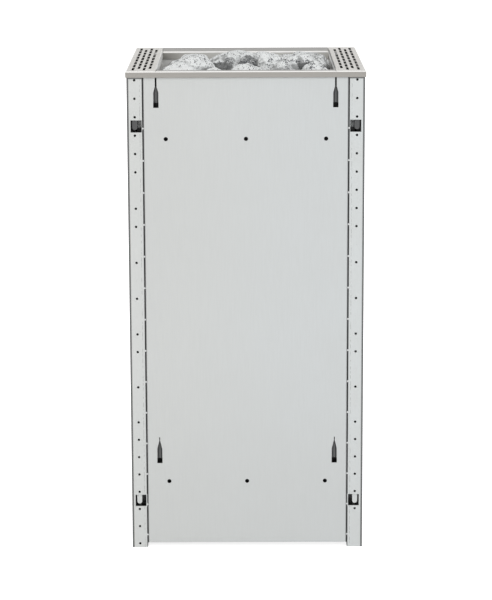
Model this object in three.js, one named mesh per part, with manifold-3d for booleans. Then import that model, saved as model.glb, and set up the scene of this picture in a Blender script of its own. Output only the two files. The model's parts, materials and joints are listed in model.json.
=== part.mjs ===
// Floor-standing electric sauna heater, built from folded sheet, with a loose stone heap in its open top.
// Millimetres, +Z up. The origin lies on the floor under the middle of the body.
// The -Y side is the wall side: it carries the hanging slots. Left and right are as seen from -Y.

import * as THREE from "three";
import { mergeVertices } from "three/addons/utils/BufferGeometryUtils.js";
import Module from "manifold-3d";

const wasm = await Module();
wasm.setup();

// Body
const BODY_WIDTH = 450;
const BODY_DEPTH = 450;
const SEAT_GAP = 0.3; // between pieces that bear on each other

// Corner posts: lipped channels with a shallow joggle along the inner edge
const POST_HEIGHT = 933;
const POST_SIZE = 30;
const POST_WALL = 1.5;
const POST_LIP = 12;
const POST_BEND = 1.2; // inside radius
const JOGGLE_WIDTH = 6.5;
const JOGGLE_DEPTH = 0.5;

// Hole row down each post, with blanks where the post is riveted
const HOLE_PITCH = 35;
const HOLE_DIAMETER = 5;
const HOLE_START = 8; // height of the lowest hole
const HOLE_INSET = 15; // from the post's outer side
const BLANKS_LEFT = [8, 10, 13, 15, 17, 20];
const BLANKS_RIGHT = [0, 1, 8, 10, 13, 15, 17];

// Windows in the posts, each with a hook tongue hanging in it
const WINDOW_STEPS = 2.5; // hole pitches in from either end of the row
const WINDOW_WIDTH = 21;
const WINDOW_HEIGHT = 23;
const WINDOW_INSET = 7; // from the post's outer side
const TONGUE_WIDTH = 9.5;
const TONGUE_LENGTH = 18.5;
const TONGUE_SETBACK = 0.8; // behind the post's wall
const TONGUE_ROOT = 3;

// Panels between the posts
const PANEL_SHEET = 1;
const PANEL_BEND = 1.2;
const PANEL_RECESS = 1.5; // behind the post faces
const PANEL_BOTTOM = 9;
const FACE_FLANGE = 18;
const SIDE_FLANGE = 12;

// Hanging slots in the wall panel, with a folded guide behind each
const SLOT_INSET = 25; // slot middle from the panel's edge
const SLOT_WIDTH = 10;
const SLOT_HEIGHT = 28;
const UPPER_SLOT_DROP = 57; // slot's lower end below the panel's top
const UPPER_TAPER = 12;
const UPPER_NECK_WIDTH = 3.2;
const UPPER_NECK_LENGTH = 18; // runs out at the panel's top
const LOWER_SLOT_RISE = 161.5; // slot's lower end above the panel's bottom
const LOWER_TAPER = 17;
const LOWER_NECK_WIDTH = 1.6;
const LOWER_NECK_LENGTH = 7;
const GUIDE_START = 9; // above the slot's lower end
const GUIDE_DEPTH = 7;
const GUIDE_SHEET = 1;
const GUIDE_LAND = 2; // each side of the slot

// Round holes in the wall panel, three in each row
const SCREW_HOLE_DIAMETER = 8;
const SCREW_HOLE_INSET = 43;
const UPPER_SCREW_DROP = 116.5;
const LOWER_SCREW_RISE = 125;

// Cable notch in the lower edge of the far panel
const NOTCH_WIDTH = 60;
const NOTCH_HEIGHT = 80;

// Top frame, loose on the posts
const FRAME_SHEET = 1.5;
const FRAME_BEND = 0.8;
const FRAME_OVERHANG = 2;
const STRIP_WIDTH = 57;
const RAIL_WIDTH = 51;
const RAIL_DROP = 3.3; // the rails fall this much towards the opening
const SKIRT_HEIGHT = 12;
const COLLAR_DEPTH = 16;

// Air outlet slots in the strips
const VENT_WIDTH = 5;
const VENT_LENGTH = 44;
const VENT_PITCH = 53;
const VENT_COLUMN_PITCH = 10.5;
const VENT_EDGE = 13.3; // first column's middle from the strip's outer edge
const VENT_MARGIN = 8; // least land left at the strip's inner edge
const VENT_END = 14; // least land left at the strip's ends

// Radiation shields behind the panels
const SHIELD_SHEET = 1;
const SHIELD_BEND = 0.4;
const SHIELD_SETBACK = 4; // behind the panel flanges
const SHIELD_FACE_FLANGE = 6;
const SHIELD_SIDE_FLANGE = 10;
const SHIELD_TOP_DROP = 33; // below the post tops
const FACE_SHIELD_BOTTOM = 120;
const SIDE_SHIELD_BOTTOM = 26;

// Stone tray, its grate and the rails that carry it
const TRAY_SEAT = 525; // height of the rails' upper face
const TRAY_SHEET = 1.5;
const TRAY_CLEARANCE = 1; // around the frame's collar
const TRAY_TOP_DROP = 8; // below the frame's top
const TRAY_FLANGE = 16;
const RAIL_SHEET = 2;
const RAIL_LEG = 25;
const GRATE_BAR = 8;
const GRATE_PITCH = 32;
const GRATE_STRAP_WIDTH = 20;
const GRATE_STRAP_SHEET = 3;

// Decks across the body
const DECK_SHEET = 1.5;
const DECK_FLANGE = 20;
const BASE_DECK_HEIGHT = 30;
const HEAT_SHIELD_HEIGHT = 250;
const ELEMENT_DECK_HEIGHT = 380;
const INLET_WIDTH = 40;
const INLET_LENGTH = 80;
const INLET_PITCH = 115;
const INLET_EDGE = 26; // from the deck's edge
const AIRWAY_WIDTH = 60;
const AIRWAY_LENGTH = 240;

// Tubular heating elements
const ELEMENT_TUBE = 8.5;
const ELEMENT_LEGS = 70; // between the two legs
const ELEMENT_PITCH = 110;
const ELEMENT_ROW_STEPS = 2.5; // grate pitches from the middle to each row
const ELEMENT_COVER = 75; // tray top above the bends
const ELEMENT_CLEARANCE = 3; // to the stones
const BUSHING_DIAMETER = 14;
const BUSHING_HEX = 22;
const BUSHING_HEIGHT = 6;
const BUSHING_TAIL = 14;
const PIN_DIAMETER = 4.4;
const PIN_LENGTH = 26;
const PIN_CLEARANCE = 0.4;

// Connecting bars under the element deck
const BAR_WIDTH = 14;
const BAR_SHEET = 2;
const BAR_END = 10;
const NEUTRAL_DROP = 30; // below the element deck
const PHASE_DROP = 37;

// Terminal box
const BOX_WIDTH = 200;
const BOX_DEPTH = 105;
const BOX_HEIGHT = 70;
const BOX_SHEET = 1.2;
const BOX_SETBACK = 60; // behind the middle of the body
const COVER_LIP = 10;
const TERMINAL_WAYS = 6;
const TERMINAL_PITCH = 18;
const TERMINAL_DEPTH = 30;
const TERMINAL_BASE = 12;
const TERMINAL_HEIGHT = 22;
const TERMINAL_WALL = 4;
const GLAND_THREAD = 20;
const GLAND_HEX = 28;
const GLAND_BORE = 12;
const GLAND_RISE = 34; // above the box's floor
const GLAND_TAIL = 11;
const GLAND_FLANGE = 6;
const GLAND_DOME = 11;
const GLAND_NUT = 5;
const LOOM_DIAMETER = 14;
const LOOM_CLEARANCE = 0.4;
const LOOM_END_GAP = 8;
const STUD_DIAMETER = 6;
const STUD_HEX = 13;
const STUD_HEX_HEIGHT = 5;
const STUD_LENGTH = 24;
const STUD_GAP = 18; // from the terminal box

// Stones
const BED_TOP_DROP = 45; // mean top of the lower stones below the frame's top
const BED_STONE = 130; // greatest spacing of the lower stones
const BED_PRESS = 0.62; // half size of a lower stone over its spacing
const STONE_GAP = 0.5;
const STONE_BURY = 14; // how far the top stones settle among the lower ones

// Top stones: place across the opening from -1 to 1 each way, rise above the frame, width, depth, turn, seed
const STONES = [
  [-0.60, -0.38, 20, 82, 100, 10, 3],
  [0.33, -0.36, 19, 66, 80, -12, 8],
  [-0.72, -0.70, 9, 88, 88, 20, 5],
  [0.02, -0.74, 5, 76, 80, 5, 12],
  [0.45, -0.70, 13, 66, 78, -25, 21],
  [0.80, -0.70, 8, 66, 92, 14, 30],
  [0.62, -0.33, 15, 74, 74, 30, 17],
  [-0.22, -0.08, 15, 84, 86, -8, 24],
  [0.05, -0.22, 11, 62, 92, 16, 33],
  [0.80, 0.05, 10, 68, 88, -18, 41],
  [-0.10, 0.42, 11, 92, 100, 24, 45],
  [0.47, 0.22, 7, 84, 100, 40, 52],
  [-0.35, -0.80, 2, 60, 62, -30, 60],
  [-0.76, -0.10, -5, 80, 112, 12, 66],
  [-0.62, 0.55, -6, 110, 120, -15, 71],
  [0.25, 0.76, 2, 104, 82, 8, 77],
  [0.76, 0.62, 3, 80, 112, 35, 84],
];

// Places that follow from the sizes
const halfX = BODY_WIDTH / 2;
const halfY = BODY_DEPTH / 2;
const frameTop = POST_HEIGHT + SEAT_GAP + FRAME_SHEET;
const skirtBottom = frameTop - SKIRT_HEIGHT;
const frameX = halfX + FRAME_OVERHANG;
const frameY = halfY + FRAME_OVERHANG;
const openX = frameX - STRIP_WIDTH;
const openY = frameY - RAIL_WIDTH;
const panelX = halfX - POST_SIZE - SEAT_GAP;
const panelY = halfY - POST_SIZE - SEAT_GAP;
const panelTop = skirtBottom - SEAT_GAP;
const sideShieldX = halfX - PANEL_RECESS - SIDE_FLANGE - SHIELD_SETBACK;
const faceShieldY = halfY - PANEL_RECESS - FACE_FLANGE - SHIELD_SETBACK;
const deckX = sideShieldX - SHIELD_SHEET - SEAT_GAP;
const deckY = panelY - SHIELD_SHEET - SEAT_GAP;
const trayX = openX + FRAME_SHEET + TRAY_CLEARANCE; // inside faces of the tray
const trayY = openY + FRAME_SHEET + TRAY_CLEARANCE;
const trayTop = frameTop - TRAY_TOP_DROP;
const trayBottom = TRAY_SEAT + SEAT_GAP;
const grateBottom = trayBottom + TRAY_SHEET + SEAT_GAP;
const grateTop = grateBottom + GRATE_BAR;
const elementY = ELEMENT_ROW_STEPS * GRATE_PITCH;
const elementTop = trayTop - ELEMENT_COVER;
const bedTop = frameTop - BED_TOP_DROP;
const baseTop = BASE_DECK_HEIGHT + DECK_SHEET;
const boxBottom = baseTop + SEAT_GAP;
const boxTop = boxBottom + BOX_HEIGHT;
const boxFar = BOX_SETBACK + BOX_DEPTH;
const loomY = BOX_SETBACK + BOX_DEPTH / 2;
const holeCount = Math.floor((POST_HEIGHT - HOLE_START - HOLE_DIAMETER) / HOLE_PITCH) + 1;

// Materials
const metal = (color, roughness) =>
  new THREE.MeshStandardMaterial({ color, roughness, metalness: 1, flatShading: true });
const zinc = metal(0xd6dada, 0.4);
const sheet = metal(0xcdd0d1, 0.45);
const stainless = metal(0xb9b6ae, 0.38);
const sheath = metal(0x4c4d4c, 0.55);
const brass = metal(0xc2a15a, 0.35);
const ceramic = new THREE.MeshStandardMaterial({ color: 0xe8e4da, roughness: 0.5, flatShading: true });
const sleeve = new THREE.MeshStandardMaterial({ color: 0xc9c2b2, roughness: 0.9, flatShading: true });
const rock = new THREE.MeshStandardMaterial({ color: 0xb4b6b6, roughness: 0.9, flatShading: true });

// Closed solids for joining and cutting
function asSolid(shape) {
  if (!shape.isBufferGeometry) {
    return shape;
  }
  const bare = shape.clone();
  bare.deleteAttribute("normal");
  bare.deleteAttribute("uv");
  const merged = mergeVertices(bare, 1e-4);
  const vertProperties = new Float32Array(merged.attributes.position.array);
  const triVerts = new Uint32Array(merged.index.array);
  return new wasm.Manifold(new wasm.Mesh({ numProp: 3, vertProperties, triVerts }));
}

function asGeometry(shape) {
  if (shape.isBufferGeometry) {
    return shape;
  }
  const { vertProperties, triVerts } = shape.getMesh();
  const geometry = new THREE.BufferGeometry();
  geometry.setAttribute("position", new THREE.BufferAttribute(new Float32Array(vertProperties), 3));
  geometry.setIndex(new THREE.BufferAttribute(new Uint32Array(triVerts), 1));
  geometry.computeVertexNormals();
  return geometry;
}

const join = (...shapes) => shapes.map(asSolid).reduce((sum, next) => sum.add(next));
const cut = (shape, ...tools) => tools.map(asSolid).reduce((rest, tool) => rest.subtract(tool), asSolid(shape));
const common = (a, b) => asSolid(a).intersect(asSolid(b));

// Basic shapes
function box(x0, x1, y0, y1, z0, z1) {
  const geometry = new THREE.BoxGeometry(Math.abs(x1 - x0), Math.abs(y1 - y0), Math.abs(z1 - z0));
  return geometry.translate((x0 + x1) / 2, (y0 + y1) / 2, (z0 + z1) / 2);
}

// A prism on an outline: along x the outline is (y, z), along y it is (x, z), along z it is (x, y)
function prism(axis, outline, from, to) {
  const points = outline.map(([a, b]) => (axis === "y" ? new THREE.Vector2(b, a) : new THREE.Vector2(a, b)));
  const geometry = new THREE.ExtrudeGeometry(new THREE.Shape(points), { depth: to - from, bevelEnabled: false });
  geometry.translate(0, 0, from);
  const x = new THREE.Vector3(1, 0, 0);
  const y = new THREE.Vector3(0, 1, 0);
  const z = new THREE.Vector3(0, 0, 1);
  const bases = { x: [y, z, x], y: [z, x, y], z: [x, y, z] };
  return geometry.applyMatrix4(new THREE.Matrix4().makeBasis(...bases[axis]));
}

// A round bar about an axis, with flats square to the other two axes
function round(axis, diameter, from, to, sides, [a, b]) {
  const outline = [];
  for (let i = 0; i < sides; i += 1) {
    const angle = ((i + 0.5) / sides) * 2 * Math.PI;
    outline.push([a + (diameter / 2) * Math.cos(angle), b + (diameter / 2) * Math.sin(angle)]);
  }
  return prism(axis, outline, from, to);
}

// Outline of a folded sheet: its mid-line with rounded bends, set off to both faces
function folded(midline, thickness, insideRadius) {
  const radius = insideRadius + thickness / 2;
  const points = midline.map(([a, b]) => new THREE.Vector2(a, b));
  const heading = (i) => points[i + 1].clone().sub(points[i]).normalize();
  const left = (v) => new THREE.Vector2(-v.y, v.x);
  const stations = [];
  points.forEach((point, i) => {
    if (i === 0 || i === points.length - 1) {
      stations.push({ point, normal: left(heading(Math.min(i, points.length - 2))) });
      return;
    }
    const before = heading(i - 1);
    const after = heading(i);
    const turn = Math.atan2(before.cross(after), before.dot(after));
    const side = Math.sign(turn);
    const reach = radius * Math.tan(Math.abs(turn) / 2);
    const start = point.clone().addScaledVector(before, -reach);
    const centre = start.clone().addScaledVector(left(before), side * radius);
    const steps = Math.max(1, Math.round(Math.abs(turn) / 0.55));
    for (let k = 0; k <= steps; k += 1) {
      const normal = left(before).rotateAround(new THREE.Vector2(), (turn * k) / steps);
      stations.push({ point: centre.clone().addScaledVector(normal, -side * radius), normal });
    }
  });
  const face = (offset) => stations.map(({ point, normal }) => point.clone().addScaledVector(normal, offset).toArray());
  return [...face(thickness / 2), ...face(-thickness / 2).reverse()];
}

// A shallow tray with its flange turned up or down
function deck(height, flange, sheetThickness) {
  const low = Math.min(height, height + flange);
  const high = Math.max(height, height + flange);
  const floor = flange > 0 ? [height + sheetThickness, high + 1] : [low - 1, height - sheetThickness];
  const inner = box(sheetThickness - deckX, deckX - sheetThickness, sheetThickness - deckY, deckY - sheetThickness, ...floor);
  return cut(box(-deckX, deckX, -deckY, deckY, low, high), inner);
}

// Numbers between 0 and 1 that repeat for the same seed
function sequence(seed) {
  let state = seed * 2654435761;
  return () => {
    state = (Math.imul(state ^ (state >>> 15), 2246822519) + 374761393) >>> 0;
    return ((state ^ (state >>> 13)) >>> 0) / 4294967296;
  };
}

// A broken stone that fills a box of half sizes: a ball cut back by a dozen planes
function stone(half, seed, detail) {
  const next = sequence(seed);
  const planes = [];
  for (let i = 0; i < 12; i += 1) {
    const z = 2 * next() - 1;
    const angle = 2 * Math.PI * next();
    const flat = Math.sqrt(1 - z * z);
    const normal = new THREE.Vector3(flat * Math.cos(angle), flat * Math.sin(angle), z);
    planes.push({ normal, reach: 0.68 + 0.24 * next() });
  }
  const geometry = new THREE.IcosahedronGeometry(1, detail);
  const position = geometry.attributes.position;
  const point = new THREE.Vector3();
  for (let i = 0; i < position.count; i += 1) {
    point.fromBufferAttribute(position, i).normalize();
    const length = planes.reduce((least, { normal, reach }) => {
      const along = point.dot(normal);
      return along > 0 ? Math.min(least, reach / along) : least;
    }, 1);
    position.setXYZ(i, point.x * length, point.y * length, point.z * length);
  }
  geometry.computeBoundingBox();
  const size = geometry.boundingBox.getSize(new THREE.Vector3());
  geometry.center();
  return geometry.scale((2 * half[0]) / size.x, (2 * half[1]) / size.y, (2 * half[2]) / size.z);
}

// A tube's path with one ring at each waypoint
class Route extends THREE.Curve {
  constructor(waypoints) {
    super();
    this.waypoints = waypoints;
  }

  getPoint(t, target = new THREE.Vector3()) {
    const place = t * (this.waypoints.length - 1);
    const i = Math.min(Math.floor(place), this.waypoints.length - 2);
    return target.lerpVectors(this.waypoints[i], this.waypoints[i + 1], place - i);
  }

  getPointAt(t, target) {
    return this.getPoint(t, target);
  }

  getTangentAt(t, target = new THREE.Vector3()) {
    const step = 0.5 / (this.waypoints.length - 1);
    const ahead = this.getPoint(Math.min(1, t + step));
    return target.subVectors(ahead, this.getPoint(Math.max(0, t - step))).normalize();
  }
}

function tube(waypoints, diameter, sides) {
  const outline = [];
  for (let i = 0; i < sides; i += 1) {
    const angle = (i / sides) * 2 * Math.PI;
    outline.push(new THREE.Vector2(Math.cos(angle), Math.sin(angle)).multiplyScalar(diameter / 2));
  }
  const extrudePath = new Route(waypoints);
  return new THREE.ExtrudeGeometry(new THREE.Shape(outline), { extrudePath, steps: waypoints.length - 1 });
}

// Assembly
const heater = new THREE.Group();
const topFrame = new THREE.Group();
topFrame.position.z = frameTop;
heater.add(topFrame);

function piece(name, shape, material, parent = heater) {
  const mesh = new THREE.Mesh(asGeometry(shape), material);
  mesh.name = name;
  parent.add(mesh);
  return mesh;
}

// Corner posts, drawn with the outer corner at the origin; hand 1 runs to +x, hand -1 to -x
function post(hand, blanks) {
  const mid = POST_WALL / 2;
  const far = POST_SIZE - mid;
  const step = POST_SIZE - JOGGLE_WIDTH;
  const midline = [
    [POST_SIZE - POST_LIP, far],
    [far, far],
    [far, mid + JOGGLE_DEPTH],
    [step + 2 * JOGGLE_DEPTH, mid + JOGGLE_DEPTH],
    [step, mid],
    [mid, mid],
    [mid, far],
    [POST_LIP, far],
  ];
  const across = ([u, v]) => [hand * u, v];
  let solid = asSolid(prism("z", folded(midline.map(across), POST_WALL, POST_BEND), 0, POST_HEIGHT));
  for (let i = 0; i < holeCount; i += 1) {
    if (!blanks.includes(i)) {
      const middle = [hand * HOLE_INSET, HOLE_START + i * HOLE_PITCH];
      solid = cut(solid, round("y", HOLE_DIAMETER, -1, POST_WALL + 1, 8, middle));
    }
  }
  const setback = POST_WALL + TONGUE_SETBACK;
  const tongueNear = HOLE_INSET - TONGUE_WIDTH / 2;
  const tongueFar = HOLE_INSET + TONGUE_WIDTH / 2;
  for (const steps of [WINDOW_STEPS, holeCount - 1 - WINDOW_STEPS]) {
    const middle = HOLE_START + steps * HOLE_PITCH;
    const top = middle + WINDOW_HEIGHT / 2;
    const outer = hand * WINDOW_INSET;
    const inner = hand * (WINDOW_INSET + WINDOW_WIDTH);
    solid = cut(solid, box(outer, inner, -1, POST_WALL + JOGGLE_DEPTH + 1, middle - WINDOW_HEIGHT / 2, top));
    const tip = top - TONGUE_LENGTH + TONGUE_WIDTH / 2;
    const outline = [[hand * tongueNear, top + TONGUE_ROOT], [hand * tongueFar, top + TONGUE_ROOT]];
    for (let k = 0; k <= 6; k += 1) {
      const angle = -(Math.PI * k) / 6;
      outline.push([hand * (HOLE_INSET + (TONGUE_WIDTH / 2) * Math.cos(angle)), tip + (TONGUE_WIDTH / 2) * Math.sin(angle)]);
    }
    const tongue = prism("y", outline, setback, setback + POST_WALL);
    const root = box(hand * tongueNear, hand * tongueFar, POST_WALL / 2, setback + POST_WALL, top, top + TONGUE_ROOT);
    solid = join(solid, tongue, root);
  }
  return asGeometry(solid);
}

const postLeft = post(1, BLANKS_LEFT);
const postRight = post(-1, BLANKS_RIGHT);
piece("post_wall_left", postLeft, zinc).position.set(-halfX, -halfY, 0);
piece("post_wall_right", postRight, zinc).position.set(halfX, -halfY, 0);
const postRoomRight = piece("post_room_right", postLeft, zinc);
postRoomRight.position.set(halfX, halfY, 0);
postRoomRight.rotation.z = Math.PI;
const postRoomLeft = piece("post_room_left", postRight, zinc);
postRoomLeft.position.set(-halfX, halfY, 0);
postRoomLeft.rotation.z = Math.PI;

// A panel or shield with both upright edges folded back, drawn facing -y with its face at y = 0
function foldedPanel(halfWidth, flange, thickness, bend, bottom, top) {
  const mid = thickness / 2;
  const midline = [[mid - halfWidth, flange], [mid - halfWidth, mid], [halfWidth - mid, mid], [halfWidth - mid, flange]];
  return prism("z", folded(midline, thickness, bend), bottom, top);
}

// Hanging slot: a straight mouth that tapers up into a narrow neck
function slotOutline(x, z, taper, neckWidth, neckLength) {
  const shoulder = z + SLOT_HEIGHT;
  const neck = shoulder + taper;
  const right = [[SLOT_WIDTH / 2, z], [SLOT_WIDTH / 2, shoulder], [neckWidth / 2, neck], [neckWidth / 2, neck + neckLength]];
  const left = right.map(([a, b]) => [-a, b]).reverse();
  return [...right, ...left].map(([a, b]) => [x + a, b]);
}

function slotGuide(x, z, taper) {
  const edge = SLOT_WIDTH / 2 + GUIDE_LAND;
  const root = PANEL_SHEET / 2;
  const midline = [[x - edge, root], [x, root + GUIDE_DEPTH], [x + edge, root]];
  const top = z + SLOT_HEIGHT + taper;
  const guide = prism("z", folded(midline, GUIDE_SHEET, GUIDE_SHEET / 2), z + GUIDE_START, top);
  const front = box(x - edge - GUIDE_DEPTH, x + edge + GUIDE_DEPTH, -GUIDE_DEPTH, root, z, top + 1);
  return cut(guide, front);
}

let wallPanel = asSolid(foldedPanel(panelX, FACE_FLANGE, PANEL_SHEET, PANEL_BEND, PANEL_BOTTOM, panelTop));
for (const x of [SLOT_INSET - panelX, panelX - SLOT_INSET]) {
  const upper = panelTop - UPPER_SLOT_DROP;
  const lower = PANEL_BOTTOM + LOWER_SLOT_RISE;
  wallPanel = join(wallPanel, slotGuide(x, upper, UPPER_TAPER), slotGuide(x, lower, LOWER_TAPER));
  const upperSlot = slotOutline(x, upper, UPPER_TAPER, UPPER_NECK_WIDTH, UPPER_NECK_LENGTH);
  const lowerSlot = slotOutline(x, lower, LOWER_TAPER, LOWER_NECK_WIDTH, LOWER_NECK_LENGTH);
  wallPanel = cut(wallPanel, prism("y", upperSlot, -1, PANEL_SHEET), prism("y", lowerSlot, -1, PANEL_SHEET));
}
for (const x of [SCREW_HOLE_INSET - panelX, 0, panelX - SCREW_HOLE_INSET]) {
  for (const z of [PANEL_BOTTOM + LOWER_SCREW_RISE, panelTop - UPPER_SCREW_DROP]) {
    wallPanel = cut(wallPanel, round("y", SCREW_HOLE_DIAMETER, -1, PANEL_SHEET + 1, 16, [x, z]));
  }
}
piece("panel_wall", wallPanel, sheet).position.y = PANEL_RECESS - halfY;

const notch = box(-NOTCH_WIDTH / 2, NOTCH_WIDTH / 2, -1, PANEL_SHEET + 1, 0, PANEL_BOTTOM + NOTCH_HEIGHT);
const roomBlank = foldedPanel(panelX, FACE_FLANGE, PANEL_SHEET, PANEL_BEND, PANEL_BOTTOM, panelTop);
const panelRoom = piece("panel_room", cut(roomBlank, notch), sheet);
panelRoom.position.y = halfY - PANEL_RECESS;
panelRoom.rotation.z = Math.PI;

const sidePanel = foldedPanel(panelY, SIDE_FLANGE, PANEL_SHEET, PANEL_BEND, PANEL_BOTTOM, panelTop);
const faceShield = foldedPanel(
  panelX, SHIELD_FACE_FLANGE, SHIELD_SHEET, SHIELD_BEND, FACE_SHIELD_BOTTOM, POST_HEIGHT - SHIELD_TOP_DROP);
const sideShield = foldedPanel(
  panelY, SHIELD_SIDE_FLANGE, SHIELD_SHEET, SHIELD_BEND, SIDE_SHIELD_BOTTOM, POST_HEIGHT - SHIELD_TOP_DROP);
piece("shield_wall", faceShield, zinc).position.y = -faceShieldY;
const shieldRoom = piece("shield_room", faceShield, zinc);
shieldRoom.position.y = faceShieldY;
shieldRoom.rotation.z = Math.PI;
for (const [side, sign] of [["left", -1], ["right", 1]]) {
  const panel = piece(`panel_${side}`, sidePanel, sheet);
  panel.position.x = sign * (halfX - PANEL_RECESS);
  panel.rotation.z = (sign * Math.PI) / 2;
  const shield = piece(`shield_${side}`, sideShield, zinc);
  shield.position.x = sign * sideShieldX;
  shield.rotation.z = (sign * Math.PI) / 2;
}

// Top frame, drawn with its top at z = 0. The near and far edges are rounded like the bends.
function roundedEnds() {
  const edge = FRAME_BEND + FRAME_SHEET;
  const outline = [[-frameY, -COLLAR_DEPTH - 1], [frameY, -COLLAR_DEPTH - 1]];
  for (const side of [1, -1]) {
    for (let k = 0; k <= 3; k += 1) {
      const angle = (Math.PI / 6) * (side > 0 ? k : 3 - k);
      outline.push([side * (frameY - edge + edge * Math.cos(angle)), edge * (Math.sin(angle) - 1)]);
    }
  }
  return prism("x", outline, -frameX - 1, frameX + 1);
}

function ventSlot(x, y) {
  const flat = VENT_LENGTH / 2 - VENT_WIDTH / 2;
  const tip = VENT_WIDTH / 4;
  const corner = [[VENT_WIDTH / 2, flat], [tip, VENT_LENGTH / 2]];
  const upper = [...corner, [-tip, VENT_LENGTH / 2], [-VENT_WIDTH / 2, flat]];
  const outline = [...upper, ...upper.map(([a, b]) => [-a, -b])];
  return prism("z", outline.map(([a, b]) => [x + a, y + b]), -COLLAR_DEPTH, 1);
}

// The right-hand strip: skirt on three sides, collar on the fourth
function strip() {
  const mid = FRAME_SHEET / 2;
  const midline = [[openX + mid, -COLLAR_DEPTH], [openX + mid, -mid], [frameX - mid, -mid], [frameX - mid, -SKIRT_HEIGHT]];
  let solid = asSolid(prism("y", folded(midline, FRAME_SHEET, FRAME_BEND), -frameY, frameY));
  for (const side of [-1, 1]) {
    const inner = side * (frameY - FRAME_SHEET);
    const clear = openX + FRAME_SHEET + FRAME_BEND;
    const pastOpening = box(openX - 1, clear, side * (openY + FRAME_SHEET), inner, -COLLAR_DEPTH - 1, -FRAME_SHEET);
    const belowSkirt = box(openX - 1, clear, inner, side * frameY, -COLLAR_DEPTH - 1, -SKIRT_HEIGHT);
    const end = box(openX, frameX - mid, inner, side * frameY, -SKIRT_HEIGHT, -mid);
    solid = join(cut(solid, pastOpening, belowSkirt), end);
  }
  solid = common(solid, roundedEnds());
  const columns = Math.floor((STRIP_WIDTH - VENT_EDGE - VENT_MARGIN) / VENT_COLUMN_PITCH) + 1;
  const reach = frameY - VENT_END - VENT_LENGTH / 2;
  for (let column = 0; column < columns; column += 1) {
    const shift = column % 2 === 0 ? VENT_PITCH / 2 : 0;
    const rows = Math.floor((reach - shift) / VENT_PITCH);
    for (let row = -rows - (shift > 0 ? 1 : 0); row <= rows; row += 1) {
      solid = cut(solid, ventSlot(frameX - VENT_EDGE - column * VENT_COLUMN_PITCH, row * VENT_PITCH + shift));
    }
  }
  return asGeometry(solid);
}

// The near rail: skirt, a face that falls towards the opening, and a collar
function rail() {
  const mid = FRAME_SHEET / 2;
  const midline = [
    [mid - frameY, -SKIRT_HEIGHT],
    [mid - frameY, -mid],
    [-openY - mid, -RAIL_DROP - mid],
    [-openY - mid, -RAIL_DROP - COLLAR_DEPTH],
  ];
  const end = openX - SEAT_GAP;
  return prism("x", folded(midline, FRAME_SHEET, FRAME_BEND), -end, end);
}

const stripShape = strip();
const railShape = rail();
piece("vent_strip_right", stripShape, stainless, topFrame);
piece("vent_strip_left", stripShape, stainless, topFrame).rotation.z = Math.PI;
piece("frame_rail_wall", railShape, stainless, topFrame);
piece("frame_rail_room", railShape, stainless, topFrame).rotation.z = Math.PI;

// Stone tray: four walls with a flange turned in along the left and right
const trayOuterX = trayX + TRAY_SHEET;
const trayOuterY = trayY + TRAY_SHEET;
const trayBlank = box(-trayOuterX, trayOuterX, -trayOuterY, trayOuterY, trayBottom, trayTop);
const trayInside = box(-trayX, trayX, -trayY, trayY, trayBottom + TRAY_SHEET, trayTop + 1);
const trayMouth = TRAY_FLANGE - trayOuterX;
const trayFloor = box(trayMouth, -trayMouth, -trayY, trayY, trayBottom - 1, trayBottom + TRAY_SHEET + 1);
piece("stone_tray", cut(trayBlank, trayInside, trayFloor), stainless);

for (const [side, sign] of [["left", -1], ["right", 1]]) {
  const mid = RAIL_SHEET / 2;
  const inner = trayOuterX - TRAY_FLANGE;
  const midline = [
    [sign * (deckX - mid), TRAY_SEAT - RAIL_LEG],
    [sign * (deckX - mid), TRAY_SEAT - mid],
    [sign * inner, TRAY_SEAT - mid],
  ];
  piece(`tray_rail_${side}`, prism("y", folded(midline, RAIL_SHEET, 1), -deckY, deckY), zinc);
}

// Grate: bars across the tray, tied by two straps
const grateX = trayX - SEAT_GAP;
const barCount = 2 * Math.floor((trayY - GRATE_BAR) / GRATE_PITCH) + 1;
const barReach = ((barCount - 1) / 2) * GRATE_PITCH;
const grateParts = [];
for (let i = 0; i < barCount; i += 1) {
  const y = i * GRATE_PITCH - barReach;
  grateParts.push(box(-grateX, grateX, y - GRATE_BAR / 2, y + GRATE_BAR / 2, grateBottom, grateTop));
}
for (const x of [-ELEMENT_PITCH, ELEMENT_PITCH]) {
  const half = GRATE_STRAP_WIDTH / 2;
  const end = barReach + GRATE_BAR / 2;
  grateParts.push(box(x - half, x + half, -end, end, grateBottom + 1, grateBottom + 1 + GRATE_STRAP_SHEET));
}
piece("stone_grate", join(...grateParts), stainless);

// Heating elements, drawn about the top of their deck
const elementColumns = [-ELEMENT_PITCH, 0, ELEMENT_PITCH];
const elementRows = [-elementY, elementY];
const legX = ELEMENT_LEGS / 2;

function element() {
  const rise = elementTop - ELEMENT_TUBE / 2 - ELEMENT_DECK_HEIGHT - legX;
  const waypoints = [new THREE.Vector3(-legX, 0, SEAT_GAP)];
  for (let k = 0; k <= 6; k += 1) {
    const angle = Math.PI * (1 - k / 6);
    waypoints.push(new THREE.Vector3(legX * Math.cos(angle), 0, rise + legX * Math.sin(angle)));
  }
  waypoints.push(new THREE.Vector3(legX, 0, SEAT_GAP));
  let solid = asSolid(tube(waypoints, ELEMENT_TUBE, 6));
  for (const x of [-legX, legX]) {
    const hex = round("z", BUSHING_HEX, SEAT_GAP, SEAT_GAP + BUSHING_HEIGHT, 6, [x, 0]);
    const tail = round("z", BUSHING_DIAMETER, -BUSHING_TAIL, SEAT_GAP + 1, 6, [x, 0]);
    const pin = round("z", PIN_DIAMETER, -BUSHING_TAIL - PIN_LENGTH, 1 - BUSHING_TAIL, 6, [x, 0]);
    solid = join(solid, hex, tail, pin);
  }
  return asGeometry(solid);
}

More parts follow.
